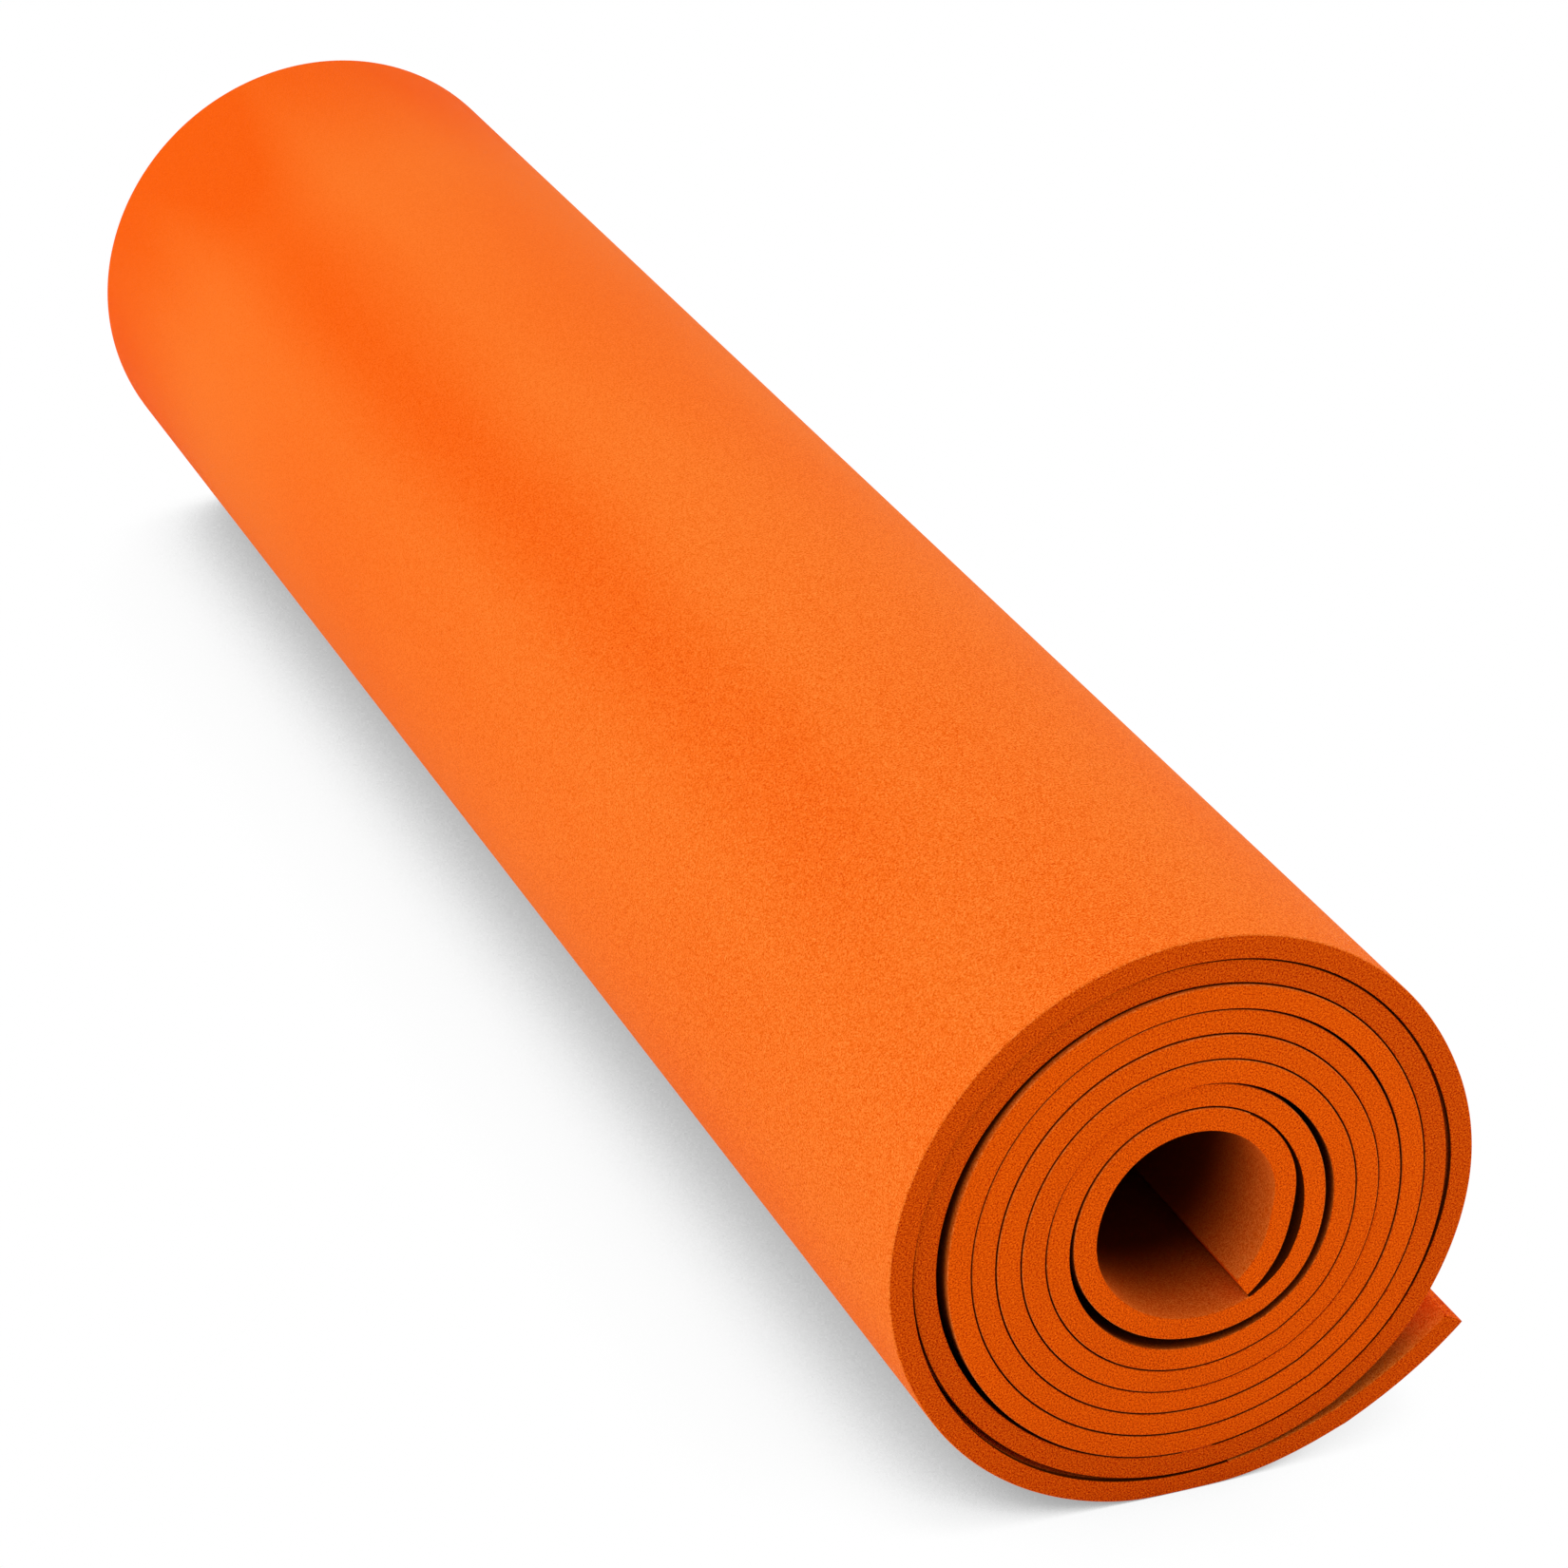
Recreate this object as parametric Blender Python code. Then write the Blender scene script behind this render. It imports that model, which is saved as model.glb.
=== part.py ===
"""A closed-cell foam sleeping pad, rolled up and lying on its side.

The pad is one plain sheet of foam, wound into a roll of about eight turns. X runs across the roll,
Y along its axis, with the photographed end at -Y, and Z is up from the floor that it lies on.
The sheet is modelled in strips that meet at bend lines, so that its outermost turn can unroll on
the floor, and its loose outer end and free inner end can bend. The turns inside stay wound.
"""

import math

import bpy
import numpy as np

# The sheet, in metres. In the roll the foam is a little thinner on the side that it has lain on
PAD_WIDTH = 0.500
FOAM = 0.00407
SQUEEZE = 0.055
THICKEST_AT = 119

# The winding. Angles are in degrees, anticlockwise from +X as seen from -Y, and count on through
# the turns, from the free inner end to the loose outer end
TURN = 360
INNER_TIP = -57
OUTER_TIP = 2849
FLOOR_AT = 2790

# The wall of the bore over the first turn: angle and radius. Its first quarter is nearly straight
BORE_WALL = [(-57, 0.0171), (-35, 0.0163), (-10, 0.0156), (20, 0.0166), (50, 0.0170),
             (115, 0.0167), (160, 0.0172), (195, 0.0181), (235, 0.0187), (270, 0.0199), (303, 0.0217)]

# The gap between turns, and where the winding is slack: angle, spread in degrees and extra gap
TURN_GAP = 0.00045
SLACK = [(320, 16, 0.0006), (346, 29, 0.0019), (612, 59, 0.0018), (718, 50, 0.0013), (1843, 28, 0.0002),
         (2340, 41, 0.0014), (2520, 20, 0.0006), (2751, 27, 0.0008)]

# The outer end lifts off the roll more and more steeply towards its cut edge
LIFT_FROM = 2785
LIFT = 0.0058
LIFT_POWER = 2.8

# The strips. The roll is pressed flat on the floor by a little, and strips meet with a fine gap
FLAT_DEPTH = 0.0005
BEND_GAP = 0.0003
PANEL_ANGLE = 15
LOOSE_STRIPS = 3
INNER_STRIPS = 2
INNER_STRIP_ANGLE = 45

# Steps in degrees along a strip's section and along the core's, and the least share of one that is kept
PANEL_STEP = 3.0
CORE_STEP = 5.0
LEAST_STEP = 0.25

# Spans in degrees, either side, for reading the sheet's heading and for searching its least gap
HEADING_SPAN = 2
GAP_SPAN = 8

FOAM_COLOUR = (0.90, 0.16, 0.012, 1.0)
FOAM_ROUGHNESS = 0.85


def smooth_through(points, at):
    """Values at the given angles of a smooth curve through (angle, value) points."""
    angles, values = np.array(points, dtype=float).T
    slopes = np.gradient(values, angles)
    i = np.clip(np.searchsorted(angles, at) - 1, 0, len(angles) - 2)
    span = angles[i + 1] - angles[i]
    u = (at - angles[i]) / span
    ends = values[i] * (1 + 2 * u) * (1 - u) ** 2 + values[i + 1] * u * u * (3 - 2 * u)
    bends = slopes[i] * u * (1 - u) ** 2 - slopes[i + 1] * u * u * (1 - u)
    return ends + span * bends


def wind():
    """Angle, inner radius and outer radius of the wound sheet, at every degree.

    The first turn follows the bore, and each later one lies on the turn below it."""
    angle = np.arange(INNER_TIP, OUTER_TIP + 1)
    thickness = FOAM * (1 + SQUEEZE * np.cos(np.radians(angle - THICKEST_AT)))
    gap = np.full(len(angle), TURN_GAP)
    for middle, spread, extra in SLACK:
        gap += extra * np.exp(-((angle - middle) / spread) ** 2)
    lifted = np.clip((angle - LIFT_FROM) / (OUTER_TIP - LIFT_FROM), 0, 1)
    gap += LIFT * lifted ** LIFT_POWER
    inner = np.empty(len(angle))
    inner[:TURN] = smooth_through(BORE_WALL, angle[:TURN])
    for i in range(TURN, len(angle)):
        inner[i] = inner[i - TURN] + thickness[i - TURN] + gap[i]
    return angle, inner, inner + thickness


ANGLE, INNER, OUTER = wind()


def on_face(face, angles):
    """Points of the sheet's inner or outer face, about the middle of the roll, as rows of x, z."""
    angles = np.atleast_1d(np.asarray(angles, dtype=float))
    radius = np.interp(angles, ANGLE, face)
    turned = np.radians(angles)
    return np.column_stack((radius * np.cos(turned), radius * np.sin(turned)))


def least_turn_gap():
    """Least distance between one turn's outer face and the next turn's inner face, on points."""
    under = on_face(OUTER, ANGLE[:-TURN])
    over = on_face(INNER, ANGLE[TURN:])
    kept = slice(GAP_SPAN, -GAP_SPAN)
    shifts = range(-GAP_SPAN, GAP_SPAN + 1)
    return min(np.linalg.norm(np.roll(over, shift, axis=0)[kept] - under[kept], axis=1).min()
               for shift in shifts)


def length_between(start, end):
    """Length of the sheet's middle line between two angles."""
    angles = np.arange(start, end + 1)
    middle_line = (on_face(OUTER, angles) + on_face(INNER, angles)) / 2
    return np.linalg.norm(np.diff(middle_line, axis=0), axis=1).sum()


def heading(angle):
    """Direction of the sheet towards its outer end, in degrees up from +X."""
    ahead = on_face(OUTER, angle + HEADING_SPAN) + on_face(INNER, angle + HEADING_SPAN)
    behind = on_face(OUTER, angle - HEADING_SPAN) + on_face(INNER, angle - HEADING_SPAN)
    x, z = (ahead - behind)[0]
    return math.degrees(math.atan2(z, x))


def list_strips():
    """Rows of name, parent, start angle, end angle and the angle of the bend line on the parent.

    The core comes first. One turn of strips goes outwards from it to the strip on the floor and the
    loose end, and the inner end's strips go inwards."""
    core_start = INNER_TIP + INNER_STRIPS * INNER_STRIP_ANGLE
    core_end = FLOOR_AT + PANEL_ANGLE / 2 - TURN
    rows = [("wound_core", None, core_start, core_end, None)]
    parent = "wound_core"
    start = core_end
    turn = [f"outer_turn_{number:02d}" for number in range(1, TURN // PANEL_ANGLE)] + ["floor_panel"]
    for name in turn:
        rows.append((name, parent, start, start + PANEL_ANGLE, start))
        parent = name
        start += PANEL_ANGLE
    strip_angle = (OUTER_TIP - start) / LOOSE_STRIPS
    for number in range(1, LOOSE_STRIPS + 1):
        name = f"loose_end_{number}"
        rows.append((name, parent, start, start + strip_angle, start))
        parent = name
        start += strip_angle
    parent = "wound_core"
    end = core_start
    for number in range(1, INNER_STRIPS + 1):
        name = f"inner_end_{number}"
        rows.append((name, parent, end - INNER_STRIP_ANGLE, end, end))
        parent = name
        end -= INNER_STRIP_ANGLE
    return rows


def bend_line(name, bend):
    """Where a strip bends: on the sheet's outer face, or on its inner face at the inner end."""
    face = INNER if name.startswith("inner_end") else OUTER
    return on_face(face, bend)[0]


def outline(name, start, end):
    """Closed section of one strip: out along its outer face and back along its inner face."""
    step = CORE_STEP if name == "wound_core" else PANEL_STEP
    first = start
    last = end
    if start > INNER_TIP:
        first += math.degrees(BEND_GAP / 2 / np.interp(start, ANGLE, INNER))
    if end < OUTER_TIP:
        last -= math.degrees(BEND_GAP / 2 / np.interp(end, ANGLE, INNER))
    between = np.arange(math.ceil(first / step) * step, last, step)
    least = LEAST_STEP * step
    between = between[(between > first + least) & (between < last - least)]
    angles = np.concatenate(([first], between, [last]))
    return np.concatenate((on_face(OUTER, angles), on_face(INNER, angles)[::-1]))


def foam_material():
    """Matt orange foam."""
    material = bpy.data.materials.new("orange_foam")
    material.use_nodes = True
    shader = material.node_tree.nodes["Principled BSDF"]
    shader.inputs["Base Color"].default_value = FOAM_COLOUR
    shader.inputs["Roughness"].default_value = FOAM_ROUGHNESS
    shader.inputs["Metallic"].default_value = 0.0
    material.diffuse_color = FOAM_COLOUR
    return material


def add_strip(name, section, origin, collection, material):
    """One strip of foam across the pad, drawn in its section and extruded both ways along Y."""
    curve = bpy.data.curves.new(name, "CURVE")
    curve.dimensions = "2D"
    curve.fill_mode = "BOTH"
    curve.extrude = PAD_WIDTH / 2
    spline = curve.splines.new("POLY")
    spline.points.add(len(section) - 1)
    for point, (x, z) in zip(spline.points, section - origin):
        point.co = (x, z, 0.0, 1.0)
    spline.use_cyclic_u = True
    curve.materials.append(material)
    strip = bpy.data.objects.new(name, curve)
    strip.location = (origin[0], 0.0, origin[1])
    strip.rotation_euler = (math.pi / 2, 0.0, 0.0)
    collection.objects.link(strip)
    return strip


def print_bends(rows, origins):
    """Each bend line, and the turn about it that lays its strip flat along the floor.

    The flat sheet comes down from the core's underside to the floor at the loose end's tip."""
    core_end = rows[0][3]
    drop = origins[rows[1][0]][1]
    headings = {"wound_core": -math.degrees(math.atan2(drop, length_between(core_end, OUTER_TIP)))}
    for name, parent, start, end, _ in rows[1:]:
        x, z = origins[name]
        line = f"bend {name}: x {x:.5f} z {z:.5f}"
        if not name.startswith("inner_end"):
            headings[name] = heading((start + end) / 2)
            opens = (headings[name] - headings[parent] + TURN / 2) % TURN - TURN / 2
            line += f" lies flat at {opens:.2f}"
        print(line)


def build():
    """All the strips, each with its origin on its bend line and hung from the strip it bends on."""
    collection = bpy.data.collections.new("foam_sleeping_pad")
    bpy.context.scene.collection.children.link(collection)
    material = foam_material()
    rows = list_strips()
    sections = {name: outline(name, start, end) for name, _, start, end, _ in rows}
    every_point = np.concatenate(list(sections.values()))
    floor = every_point[:, 1].min() + FLAT_DEPTH
    across = (every_point[:, 0].min() + every_point[:, 0].max()) / 2
    to_frame = np.array((-across, -floor))
    print(f"roll middle: x {to_frame[0]:.5f} z {to_frame[1]:.5f}")
    made = {}
    origins = {"wound_core": np.zeros(2)}
    for name, parent, _, _, bend in rows:
        section = sections[name] + to_frame
        section[:, 1] = np.maximum(section[:, 1], 0.0)
        if parent is not None:
            origins[name] = np.maximum(bend_line(name, bend) + to_frame, (-np.inf, 0.0))
        made[name] = add_strip(name, section, origins[name], collection, material)
        if parent is not None:
            bpy.context.view_layer.update()
            made[name].parent = made[parent]
            made[name].matrix_parent_inverse = made[parent].matrix_world.inverted()
    print_bends(rows, origins)
    print(f"sheet length: {length_between(INNER_TIP, OUTER_TIP):.3f} m")
    print(f"least gap between turns: {least_turn_gap() * 1000:.2f} mm")


for old in list(bpy.data.objects):
    bpy.data.objects.remove(old)
build()
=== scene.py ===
import math

import bpy
import numpy as np
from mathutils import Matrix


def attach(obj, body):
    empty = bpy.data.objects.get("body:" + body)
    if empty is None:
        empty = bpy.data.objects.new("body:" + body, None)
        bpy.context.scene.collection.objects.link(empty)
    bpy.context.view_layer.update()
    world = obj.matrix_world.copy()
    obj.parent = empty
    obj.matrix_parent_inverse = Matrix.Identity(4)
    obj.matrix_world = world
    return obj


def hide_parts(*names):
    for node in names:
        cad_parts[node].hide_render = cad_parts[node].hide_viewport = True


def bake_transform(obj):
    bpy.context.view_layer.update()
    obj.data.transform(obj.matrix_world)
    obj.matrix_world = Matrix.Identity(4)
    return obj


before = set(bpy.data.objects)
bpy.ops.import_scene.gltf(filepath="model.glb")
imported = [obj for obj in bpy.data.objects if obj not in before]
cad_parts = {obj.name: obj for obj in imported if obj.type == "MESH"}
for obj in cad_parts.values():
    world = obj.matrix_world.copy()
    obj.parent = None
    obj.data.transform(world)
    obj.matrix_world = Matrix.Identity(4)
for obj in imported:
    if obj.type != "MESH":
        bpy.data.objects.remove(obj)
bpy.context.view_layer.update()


# The camera, which stands in front of the roll's near end, a little to its left and above it.
# Its long lens keeps the far end of the roll nearly as large as the near end.
bpy.ops.object.camera_add(location=(-0.3561, -0.9597, 0.5239),
                          rotation=(math.radians(64.04), 0.0, math.radians(-21.65)))
camera = bpy.context.object
camera.name = "camera"
camera.data.lens = 122.6
camera.data.sensor_width = 36.0
camera.data.clip_start = 0.05
bpy.context.scene.camera = camera


# The inner turns of the pad. The pad is one sheet of orange closed-cell foam, cut square and wound up
# tightly, and each turn lies on the one below it. These turns stay wound when the rest unrolls.

# The sheet. In the roll its foam is a little thinner on the side that it has lain on
PAD_WIDTH = 0.500
FOAM = 0.00407
SQUEEZE = 0.055
THICKEST_AT = 119

# The winding. Angles are in degrees, anticlockwise from +X as seen from -Y, and count on through the
# turns, from the free inner end to the loose outer end
TURN = 360
INNER_TIP = -57
OUTER_TIP = 2849
FLOOR_AT = 2790
ROLL_MIDDLE = (0.00089, 0.05536)

# The wall of the bore over the first turn: angle and radius. Its first quarter is nearly straight
BORE_WALL = [(-57, 0.0171), (-35, 0.0163), (-10, 0.0156), (20, 0.0166), (50, 0.0170),
             (115, 0.0167), (160, 0.0172), (195, 0.0181), (235, 0.0187), (270, 0.0199), (303, 0.0217)]

# The gap between turns, and where the winding is slack: angle, spread in degrees and extra gap
TURN_GAP = 0.00045
SLACK = [(320, 16, 0.0006), (346, 29, 0.0019), (612, 59, 0.0018), (718, 50, 0.0013), (1843, 28, 0.0002),
         (2340, 41, 0.0014), (2520, 20, 0.0006), (2751, 27, 0.0008)]

# The outer end lifts off the roll more and more steeply towards its cut edge
LIFT_FROM = 2785
LIFT = 0.0058
LIFT_POWER = 2.8

# The turn between two bend lines, on the outermost turn and on the free inner end
PANEL_ANGLE = 15
INNER_STRIPS = 2
INNER_STRIP_ANGLE = 45

# Where the edge of the winding stands back from the near end: angle, spread in degrees and depth
SET_BACK = [(2310, 80, 0.0010), (470, 55, 0.0010), (110, 60, 0.0008), (1500, 200, 0.0003)]
EDGE_ROUND = 0.0003

# In the roll the foam swells a little into the gaps between its turns
SWELL = 0.0001

# How softly the foam bends to the floor that it lies on
FLOOR_SOFT = 0.00022

# The length of a face along the winding, and how many lie across the pad
CORE_STEP = 0.0011
CORE_ROWS = 22


def smooth_through(points, at):
    """Values at the given angles of a smooth curve through (angle, value) points."""
    angles, values = np.array(points, dtype=float).T
    slopes = np.gradient(values, angles)
    i = np.clip(np.searchsorted(angles, at) - 1, 0, len(angles) - 2)
    span = angles[i + 1] - angles[i]
    u = (at - angles[i]) / span
    ends = values[i] * (1 + 2 * u) * (1 - u) ** 2 + values[i + 1] * u * u * (3 - 2 * u)
    bends = slopes[i] * u * (1 - u) ** 2 - slopes[i + 1] * u * u * (1 - u)
    return ends + span * bends


def wind():
    """Angle, inner radius and thickness of the wound sheet at every degree, and the length up to there."""
    angle = np.arange(INNER_TIP, OUTER_TIP + 1)
    thickness = FOAM * (1 + SQUEEZE * np.cos(np.radians(angle - THICKEST_AT)))
    gap = np.full(len(angle), TURN_GAP)
    for middle, spread, extra in SLACK:
        gap += extra * np.exp(-((angle - middle) / spread) ** 2)
    lifted = np.clip((angle - LIFT_FROM) / (OUTER_TIP - LIFT_FROM), 0, 1)
    gap += LIFT * lifted ** LIFT_POWER
    inner = np.empty(len(angle))
    inner[:TURN] = smooth_through(BORE_WALL, angle[:TURN])
    for i in range(TURN, len(angle)):
        inner[i] = inner[i - TURN] + thickness[i - TURN] + gap[i]
    middle = inner + thickness / 2
    turned = np.radians(angle)
    line = np.column_stack((middle * np.cos(turned), middle * np.sin(turned)))
    steps = np.linalg.norm(np.diff(line, axis=0), axis=1)
    return angle, inner, thickness, np.concatenate(([0.0], np.cumsum(steps)))


ANGLE, INNER, THICKNESS, LENGTH = wind()


def length_to(angle):
    """Length of the flat sheet from its inner end up to an angle of the winding."""
    return float(np.interp(angle, ANGLE, LENGTH))


def lay_flat(name, start, end, step, rows):
    """A flat strip of foam between two angles of the winding, with its outer face down."""
    first, last = np.interp((start, end), ANGLE, LENGTH)
    bpy.ops.object.select_all(action="DESELECT")
    bpy.ops.mesh.primitive_grid_add(x_subdivisions=max(2, round((last - first) / step)), y_subdivisions=rows,
                                    size=1.0, location=((first + last) / 2, 0.0, 0.0))
    strip = bpy.context.object
    strip.name = name
    strip.data.name = name
    strip.scale = (last - first, PAD_WIDTH, 1.0)
    bpy.ops.object.transform_apply(location=True, rotation=False, scale=True)
    for vertex in strip.data.vertices:
        vertex.co.y = PAD_WIDTH / 2 * math.sin(math.pi * vertex.co.y / PAD_WIDTH)
    strip.data.materials.append(foam_skin)
    strip.data.materials.append(foam_cut)
    thick = strip.modifiers.new("foam thickness", "SOLIDIFY")
    thick.thickness = FOAM
    thick.offset = 0.0
    thick.material_offset_rim = 1
    bpy.ops.object.modifier_apply(modifier=thick.name)
    return strip


def round_cut_edges(strip, tip=None):
    """Soften the corners that the blade left along both sides of the pad, and at its tip if it has one."""
    mesh = strip.data
    bpy.ops.object.mode_set(mode="EDIT")
    bpy.ops.mesh.select_mode(type="EDGE")
    bpy.ops.mesh.select_all(action="DESELECT")
    bpy.ops.object.mode_set(mode="OBJECT")
    near = 1e-6
    for edge in mesh.edges:
        a, b = (mesh.vertices[i].co for i in edge.vertices)
        level = abs(a.z - b.z) < near
        along_side = abs(abs(a.y) - PAD_WIDTH / 2) < near and abs(a.y - b.y) < near
        along_tip = tip is not None and abs(a.x - tip) < near and abs(b.x - tip) < near
        edge.select = level and (along_side or along_tip)
    bpy.ops.object.mode_set(mode="EDIT")
    bpy.ops.mesh.bevel(offset=EDGE_ROUND, segments=3, profile=0.5, affect="EDGES", clamp_overlap=True)
    bpy.ops.object.mode_set(mode="OBJECT")


def roll_up(strip):
    """Wind a flat strip up to its place in the roll, and keep each point's flat place for its pattern."""
    mesh = strip.data
    flat = np.empty(len(mesh.vertices) * 3)
    mesh.vertices.foreach_get("co", flat)
    kept = mesh.attributes.new("flat_place", "FLOAT_VECTOR", "POINT")
    kept.data.foreach_set("vector", flat)
    along, across, up = flat.reshape(-1, 3).T
    angle = np.interp(along, LENGTH, ANGLE)
    thickness = np.interp(angle, ANGLE, THICKNESS) + 2 * SWELL
    radius = np.interp(angle, ANGLE, INNER) - SWELL + (0.5 - up / FOAM) * thickness
    turned = np.radians(angle)
    back = np.zeros(len(angle))
    for middle, spread, depth in SET_BACK:
        back += depth * np.exp(-((angle - middle) / spread) ** 2)
    x = ROLL_MIDDLE[0] + radius * np.cos(turned)
    y = across + back * (0.5 - across / PAD_WIDTH)
    z = ROLL_MIDDLE[1] + radius * np.sin(turned)
    z = (z + np.sqrt(z ** 2 + 4 * FLOOR_SOFT ** 2)) / 2
    mesh.vertices.foreach_set("co", np.column_stack((x, y, z)).ravel())
    mesh.update()
    bpy.ops.object.shade_smooth_by_angle(angle=math.radians(40))


def foam_cells():
    """The grain of closed-cell foam: fine bubbles of uneven size, over soft swells of the sheet."""
    group = bpy.data.node_groups.new("foam cells", "ShaderNodeTree")
    group.interface.new_socket("Place", in_out="INPUT", socket_type="NodeSocketVector")
    group.interface.new_socket("Cell Scale", in_out="INPUT", socket_type="NodeSocketFloat")
    group.interface.new_socket("Cells", in_out="OUTPUT", socket_type="NodeSocketFloat")
    group.interface.new_socket("Swells", in_out="OUTPUT", socket_type="NodeSocketFloat")
    nodes = group.nodes
    links = group.links
    entry = nodes.new("NodeGroupInput")
    leave = nodes.new("NodeGroupOutput")
    bubbles = nodes.new("ShaderNodeTexNoise")
    bubbles.inputs["Detail"].default_value = 2.0
    bubbles.inputs["Roughness"].default_value = 0.6
    swells = nodes.new("ShaderNodeTexNoise")
    swells.inputs["Scale"].default_value = 22.0
    swells.inputs["Detail"].default_value = 2.0
    links.new(entry.outputs["Place"], bubbles.inputs["Vector"])
    links.new(entry.outputs["Cell Scale"], bubbles.inputs["Scale"])
    drawn_out = nodes.new("ShaderNodeVectorMath")
    drawn_out.operation = "MULTIPLY"
    drawn_out.inputs[1].default_value = (1.0, 0.22, 1.0)
    links.new(entry.outputs["Place"], drawn_out.inputs[0])
    links.new(drawn_out.outputs["Vector"], swells.inputs["Vector"])
    links.new(bubbles.outputs["Fac"], leave.inputs["Cells"])
    links.new(swells.outputs["Fac"], leave.inputs["Swells"])
    return group


cells_group = foam_cells()


def reckon(tree, operation, first, second=None, third=None):
    """One sum in a material, from links or plain numbers."""
    node = tree.nodes.new("ShaderNodeMath")
    node.operation = operation
    for socket, value in zip(node.inputs, (first, second, third)):
        if isinstance(value, bpy.types.NodeSocket):
            tree.links.new(value, socket)
        elif value is not None:
            socket.default_value = value
    return node.outputs[0]


def fade(tree, value, zero_at, one_at):
    """A soft step from 0 to 1 between two values."""
    node = tree.nodes.new("ShaderNodeMapRange")
    node.interpolation_type = "SMOOTHSTEP"
    tree.links.new(value, node.inputs["Value"])
    node.inputs["From Min"].default_value = zero_at
    node.inputs["From Max"].default_value = one_at
    return node.outputs["Result"]


def between(tree, value, low, high):
    """1 where a value lies between two others."""
    above = reckon(tree, "GREATER_THAN", value, low)
    below = reckon(tree, "LESS_THAN", value, high)
    return reckon(tree, "MULTIPLY", above, below)


def mix_colours(tree, factor, first, second, blend="MIX"):
    """One colour from two, each a link or a plain colour."""
    node = tree.nodes.new("ShaderNodeMix")
    node.data_type = "RGBA"
    node.blend_type = blend
    node.clamp_factor = blend == "MIX"
    tree.links.new(factor, node.inputs["Factor"])
    sockets = [socket for socket in node.inputs if socket.type == "RGBA"]
    for socket, value in zip(sockets, (first, second)):
        if isinstance(value, bpy.types.NodeSocket):
            tree.links.new(value, socket)
        else:
            socket.default_value = value
    return [socket for socket in node.outputs if socket.type == "RGBA"][0]


# The foam's grain: how fine its cells are, how high they stand, and how strongly they show towards the
# far end and the near end, from this far either side of the pad's middle. Swells move its tone
CELL_SCALE = 3300.0
CELL_HEIGHT = 0.0003
FAR_GRAIN = 6.0
NEAR_GRAIN = 31.0
GRAIN_SPAN = 0.20
SWELL_DRIFT = 0.8

# Faces inside the roll have painted shade, a darker colour in place of the shade that falls there.
# In the bore it grows from a fine rim down to this depth
PAINTED_SHADE_TONE = (0.10, 0.015, 0.0005, 1.0)
BORE_TO = length_to(INNER_TIP + TURN)
BORE_RIM = 0.001
BORE_SHADE = 0.028

# Between the turns the painted shade goes by the share of open room within this reach, from none to full.
# Under the outermost turn it is a rim this wide
GAP_REACH = 0.005
OPEN_GAP = 0.80
CLOSED_GAP = 0.25
RIM_SHADE = 0.0016

# How far along the sheet the inner end goes, then the turn behind it, the turns that stay wound, the
# stretch under the loose end, which fades out, and the outermost turn
INNER_END_TO = length_to(60)
BEHIND_TO = length_to(425)
LAST_TURN_FROM = length_to(2437 - TURN)
WOUND_TO = length_to(2437)
LOOSE_FADE_FROM = length_to(2479)
LOOSE_FADE_TO = length_to(2489)
OUTERMOST_TO = length_to(2800)


def start_foam(name, relief):
    """Matt foam whose cells stand up as a fine grain: its material, its flat place and its cells."""
    material = bpy.data.materials.new(name)
    material.use_nodes = True
    tree = material.node_tree
    shader = tree.nodes["Principled BSDF"]
    shader.inputs["Roughness"].default_value = 0.75
    shader.inputs["Specular IOR Level"].default_value = 0.01
    place = tree.nodes.new("ShaderNodeAttribute")
    place.attribute_name = "flat_place"
    flat = tree.nodes.new("ShaderNodeSeparateXYZ")
    tree.links.new(place.outputs["Vector"], flat.inputs["Vector"])
    cells = tree.nodes.new("ShaderNodeGroup")
    cells.node_tree = cells_group
    cells.inputs["Cell Scale"].default_value = CELL_SCALE
    tree.links.new(place.outputs["Vector"], cells.inputs["Place"])
    bump = tree.nodes.new("ShaderNodeBump")
    bump.inputs["Strength"].default_value = relief
    bump.inputs["Distance"].default_value = CELL_HEIGHT
    tree.links.new(cells.outputs["Cells"], bump.inputs["Height"])
    tree.links.new(bump.outputs["Normal"], shader.inputs["Normal"])
    return material, flat.outputs, cells.outputs


def colour_foam(material, flat, cells, drift, pale, deep, grain_tone, painted_shade):
    """Let the colour drift from pale to deep, put the grain on it, and paint shade on the faces inside the
    roll.
    """
    tree = material.node_tree
    colour = mix_colours(tree, drift, pale, deep)
    nearer = fade(tree, flat["Y"], GRAIN_SPAN, -GRAIN_SPAN)
    strength = reckon(tree, "MULTIPLY_ADD", nearer, NEAR_GRAIN - FAR_GRAIN, FAR_GRAIN)
    grain = reckon(tree, "MULTIPLY", reckon(tree, "SUBTRACT", cells["Cells"], 0.5), strength)
    colour = mix_colours(tree, grain, colour, grain_tone, "ADD")
    # Painted shade: faces inside the roll take a darker colour in place of the shade that falls there
    colour = mix_colours(tree, painted_shade, colour, PAINTED_SHADE_TONE)
    tree.links.new(colour, tree.nodes["Principled BSDF"].inputs["Base Color"])


def depth_in_bore(tree, flat):
    """How deep in the bore a face lies, from either end of the roll, which sets the shade painted on it."""
    in_bore = reckon(tree, "LESS_THAN", flat["X"], BORE_TO)
    from_middle = reckon(tree, "ABSOLUTE", flat["Y"])
    depth = fade(tree, from_middle, PAD_WIDTH / 2 - BORE_RIM, PAD_WIDTH / 2 - BORE_SHADE)
    return reckon(tree, "MULTIPLY", in_bore, depth)


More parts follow.
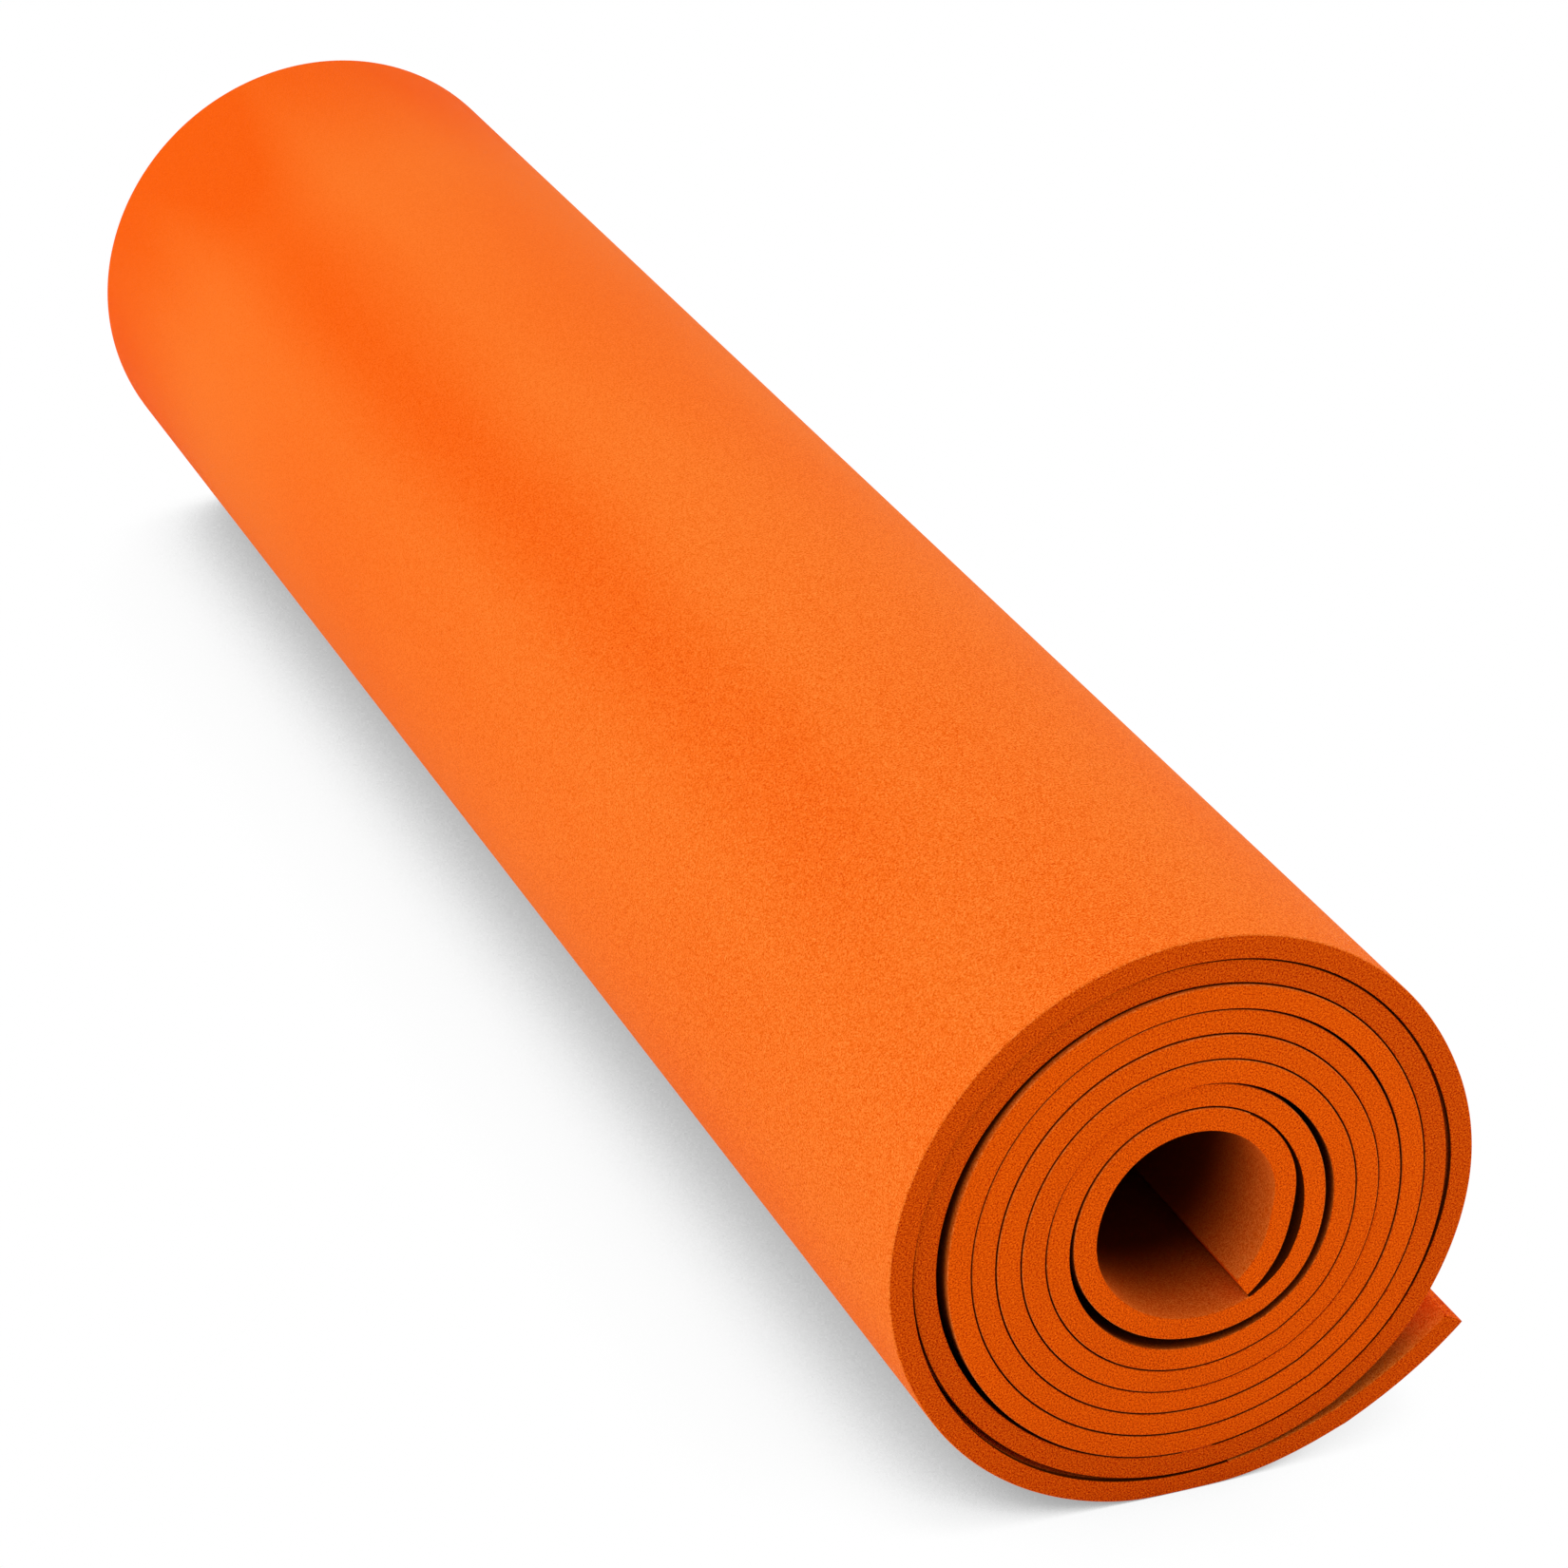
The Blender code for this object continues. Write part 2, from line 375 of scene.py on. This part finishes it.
def closed_in(tree, flat, inner_face):
    """How much shade is painted on a face of the sheet that is closed in. Between the wound turns it goes
    by the room over it. It is full behind the inner end and under the loose end, and only along the rims
    under the outermost turn."""
    along = flat["X"]
    outer_face = reckon(tree, "SUBTRACT", 1.0, inner_face)
    room = tree.nodes.new("ShaderNodeAmbientOcclusion")
    room.samples = 8
    room.only_local = True
    room.inputs["Distance"].default_value = GAP_REACH
    closed = fade(tree, room.outputs["AO"], OPEN_GAP, CLOSED_GAP)
    from_middle = reckon(tree, "ABSOLUTE", flat["Y"])
    rim = fade(tree, from_middle, PAD_WIDTH / 2 - RIM_SHADE, PAD_WIDTH / 2 - RIM_SHADE / 2)
    inner_end = reckon(tree, "LESS_THAN", along, INNER_END_TO)
    behind_inner_end = between(tree, along, BORE_TO, BEHIND_TO)
    under_loose_end = reckon(tree, "MULTIPLY", reckon(tree, "GREATER_THAN", along, WOUND_TO),
                             fade(tree, along, LOOSE_FADE_TO, LOOSE_FADE_FROM))
    last_wound_turn = between(tree, along, LAST_TURN_FROM, WOUND_TO)
    outermost_turn = between(tree, along, WOUND_TO, OUTERMOST_TO)
    places = ((inner_face, behind_inner_end), (outer_face, inner_end), (outer_face, under_loose_end),
              (outer_face, reckon(tree, "MULTIPLY", rim, last_wound_turn)),
              (inner_face, reckon(tree, "MULTIPLY", rim, outermost_turn)))
    for face, share in places:
        closed = reckon(tree, "MAXIMUM", closed, reckon(tree, "MULTIPLY", face, share))
    return closed


# The skin on both faces of the sheet. A band along its outside is a little deeper in colour. This is painted
# shade, where less light is reflected off the skin, and it sets in a short way from the near end. The far
# end is deeper too
SKIN_DRIFT = -0.15
SHADE_BAND_AT = length_to(2650)
SHADE_BAND_SPREAD = 0.022
SHADE_BAND_FROM = 0.015
SHADE_BAND_FULL = 0.100
SHADE_BAND_DRIFT = 0.5
FAR_END = 0.090
FAR_DRIFT = 0.7

# Outer faces that lie open have a faint sheen
SHEEN = 0.10


def make_foam_skin():
    """The closed skin of the foam."""
    material, flat, cells = start_foam("foam skin", relief=0.5)
    tree = material.node_tree
    inner_face = reckon(tree, "GREATER_THAN", flat["Z"], 0.0)
    outer_face = reckon(tree, "LESS_THAN", flat["Z"], 0.0)
    # Painted shade: a darker band along the outside of the skin, where less light is reflected off it
    off_band = reckon(tree, "ABSOLUTE", reckon(tree, "SUBTRACT", flat["X"], SHADE_BAND_AT))
    band = fade(tree, off_band, SHADE_BAND_SPREAD, 0.0)
    inward = fade(tree, flat["Y"], -PAD_WIDTH / 2 + SHADE_BAND_FROM, -PAD_WIDTH / 2 + SHADE_BAND_FULL)
    shade_band = reckon(tree, "MULTIPLY", reckon(tree, "MULTIPLY", band, inward), outer_face)
    far = fade(tree, flat["Y"], PAD_WIDTH / 2 - FAR_END, PAD_WIDTH / 2)
    drift = reckon(tree, "MULTIPLY_ADD", cells["Swells"], SWELL_DRIFT, SKIN_DRIFT)
    drift = reckon(tree, "MULTIPLY_ADD", shade_band, SHADE_BAND_DRIFT, drift)
    drift = reckon(tree, "MULTIPLY_ADD", far, FAR_DRIFT, drift)
    # Painted shade in the bore and wherever the sheet is closed in by the turns about it
    closed = closed_in(tree, flat, inner_face)
    painted_shade = reckon(tree, "MAXIMUM", depth_in_bore(tree, flat), closed)
    # The pale tone of the skin is the foam's orange with a whitish haze of reflected light painted in
    colour_foam(material, flat, cells, drift, pale=(0.89, 0.182, 0.019, 1.0), deep=(0.86, 0.104, 0.001, 1.0),
                grain_tone=(0.030, 0.0168, 0.0045, 1.0), painted_shade=painted_shade)
    shader = tree.nodes["Principled BSDF"]
    shader.inputs["Sheen Roughness"].default_value = 0.2
    shader.inputs["Sheen Tint"].default_value = (1.0, 0.75, 0.55, 1.0)
    inside = reckon(tree, "MAXIMUM", inner_face, closed)
    tree.links.new(reckon(tree, "MULTIPLY_ADD", inside, -SHEEN, SHEEN), shader.inputs["Sheen Weight"])
    return material


# The cut edges of the sheet, where the cells are open. The outer turns are deeper in colour
CUT_DRIFT = -0.25
OUTER_FROM = length_to(2110)
OUTER_SPREAD = 0.06


def make_foam_cut():
    """The cut foam along the pad's edges."""
    material, flat, cells = start_foam("foam cut edge", relief=0.6)
    tree = material.node_tree
    drift = reckon(tree, "MULTIPLY_ADD", cells["Swells"], SWELL_DRIFT, CUT_DRIFT)
    drift = reckon(tree, "ADD", drift, fade(tree, flat["X"], OUTER_FROM, OUTER_FROM + OUTER_SPREAD))
    # The cut edges in the bore take painted shade too
    colour_foam(material, flat, cells, drift, pale=(0.90, 0.110, 0.001, 1.0), deep=(0.72, 0.082, 0.001, 1.0),
                grain_tone=(0.060, 0.0150, 0.0008, 1.0), painted_shade=depth_in_bore(tree, flat))
    return material


foam_skin = make_foam_skin()
foam_cut = make_foam_cut()

core_start = INNER_TIP + INNER_STRIPS * INNER_STRIP_ANGLE
core_end = FLOOR_AT + PANEL_ANGLE / 2 - TURN
wound_turns = lay_flat("foam_wound_turns", core_start + INNER_STRIP_ANGLE / 2, core_end - PANEL_ANGLE / 2,
                       CORE_STEP, CORE_ROWS)
round_cut_edges(wound_turns)
roll_up(wound_turns)
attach(wound_turns, "wound_core")
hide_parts("wound_core")


# The outermost turn of the pad, down to the strip that it lies on. It is the same sheet, in pieces that
# each lie across one of the lines where the turn opens out as it unrolls on the floor.
STRIP_STEP = 0.0010
STRIP_ROWS = 40


def bend_over(strip, node):
    """Bake a finished strip of foam into its place, and hide the CAD strip that it stands for."""
    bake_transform(strip)
    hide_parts(node)


start = core_end
for number in range(1, TURN // PANEL_ANGLE + 1):
    node = f"outer_turn_{number:02d}" if number < TURN // PANEL_ANGLE else "floor_panel"
    before = start - PANEL_ANGLE / 2
    after = start + PANEL_ANGLE / 2
    strip = lay_flat("foam_" + node, before, after, STRIP_STEP, STRIP_ROWS)
    round_cut_edges(strip)
    roll_up(strip)
    bend_over(strip, node)
    start += PANEL_ANGLE


# The loose outer end of the pad, which nothing holds down. It lifts off the roll and off the floor
# towards its square-cut edge.
LOOSE_STRIPS = 3
loose_angle = (OUTER_TIP - start) / LOOSE_STRIPS
before = start - PANEL_ANGLE / 2
for number in range(1, LOOSE_STRIPS + 1):
    node = f"loose_end_{number}"
    last = number == LOOSE_STRIPS
    after = OUTER_TIP if last else start + loose_angle / 2
    strip = lay_flat("foam_" + node, before, after, STRIP_STEP, STRIP_ROWS)
    round_cut_edges(strip, LENGTH[-1] if last else None)
    roll_up(strip)
    bend_over(strip, node)
    before = after
    start += loose_angle


# The free inner end of the pad, where the winding was begun. It stands nearly straight across the side
# of the bore, off the turn behind it.
INNER_ROWS = 20
bend = core_start
after = core_start + INNER_STRIP_ANGLE / 2
for number in range(1, INNER_STRIPS + 1):
    node = f"inner_end_{number}"
    last = number == INNER_STRIPS
    before = INNER_TIP if last else bend - INNER_STRIP_ANGLE / 2
    strip = lay_flat("foam_" + node, before, after, STRIP_STEP, INNER_ROWS)
    round_cut_edges(strip, LENGTH[0] if last else None)
    roll_up(strip)
    bend_over(strip, node)
    after = before
    bend -= INNER_STRIP_ANGLE


# The floor, a plain white sweep. It shows as white where nothing shades it, and keeps the roll's shadow,
# which falls mostly to the left.

# How far off the roll shades the floor, and the share of open room over a spot with the grey it shows
SHADOW_REACH = 0.07
SHADOW_TONES = [(0.22, 0.36), (0.36, 0.77), (0.54, 1.0)]

# Over this distance to the right, the share comes by a part of the way to that of an open spot
RIGHT_FADE = 0.035
RIGHT_PART = 0.55
OPEN_SPOT = 0.56

bpy.ops.object.select_all(action="DESELECT")
bpy.ops.mesh.primitive_plane_add(size=8.0, location=(0.0, 0.0, 0.0))
floor = bpy.context.object
floor.name = "floor"
floor_white = bpy.data.materials.new("floor white")
floor_white.use_nodes = True
tree = floor_white.node_tree
shader = tree.nodes["Principled BSDF"]
shader.inputs["Base Color"].default_value = (0.90, 0.90, 0.90, 1.0)
shader.inputs["Roughness"].default_value = 0.9
shader.inputs["Specular IOR Level"].default_value = 0.0
shade = tree.nodes.new("ShaderNodeAmbientOcclusion")
shade.samples = 8
shade.inputs["Distance"].default_value = SHADOW_REACH
tint = tree.nodes.new("ShaderNodeValToRGB")
stops = tint.color_ramp.elements
stops.new(SHADOW_TONES[1][0])
for stop, (share, grey) in zip(stops, SHADOW_TONES):
    stop.position = share
    stop.color = (grey, grey, grey, 1.0)
seen = tree.nodes.new("ShaderNodeEmission")
path = tree.nodes.new("ShaderNodeLightPath")
either = tree.nodes.new("ShaderNodeMixShader")
spot = tree.nodes.new("ShaderNodeNewGeometry")
spot_parts = tree.nodes.new("ShaderNodeSeparateXYZ")
tree.links.new(spot.outputs["Position"], spot_parts.inputs["Vector"])
right = reckon(tree, "MULTIPLY", fade(tree, spot_parts.outputs["X"], 0.0, RIGHT_FADE), RIGHT_PART)
to_open = reckon(tree, "SUBTRACT", OPEN_SPOT, shade.outputs["AO"])
open_share = reckon(tree, "MULTIPLY_ADD", right, to_open, shade.outputs["AO"])
tree.links.new(open_share, tint.inputs["Fac"])
tree.links.new(tint.outputs["Color"], seen.inputs["Color"])
tree.links.new(path.outputs["Is Camera Ray"], either.inputs["Fac"])
tree.links.new(shader.outputs["BSDF"], either.inputs[1])
tree.links.new(seen.outputs["Emission"], either.inputs[2])
tree.links.new(either.outputs["Shader"], tree.nodes["Material Output"].inputs["Surface"])
floor.data.materials.append(floor_white)


# Soft studio light: an even white surround that is dimmer on the camera's side, as in a light tent, and
# a large soft box at the left.
world = bpy.data.worlds.new("studio")
bpy.context.scene.world = world
world.use_nodes = True
nodes = world.node_tree.nodes
links = world.node_tree.links
nodes["Background"].inputs["Color"].default_value = (1.0, 1.0, 1.0, 1.0)
toward = nodes.new("ShaderNodeTexCoord")
toward_parts = nodes.new("ShaderNodeSeparateXYZ")
dimmer = nodes.new("ShaderNodeMapRange")
dimmer.inputs["From Min"].default_value = -0.9
dimmer.inputs["From Max"].default_value = 0.1
dimmer.inputs["To Min"].default_value = 0.45
dimmer.inputs["To Max"].default_value = 1.33
links.new(toward.outputs["Generated"], toward_parts.inputs["Vector"])
links.new(toward_parts.outputs["Y"], dimmer.inputs["Value"])
links.new(dimmer.outputs["Result"], nodes["Background"].inputs["Strength"])
bpy.ops.object.light_add(type="AREA", location=(-1.4, 0.3, 0.4))
soft_box = bpy.context.object
soft_box.name = "soft box"
soft_box.data.shape = "SQUARE"
soft_box.data.size = 1.2
soft_box.data.energy = 2.6
soft_box.rotation_euler = (0.0, math.radians(-76), 0.0)
bpy.context.scene.view_settings.view_transform = "Standard"
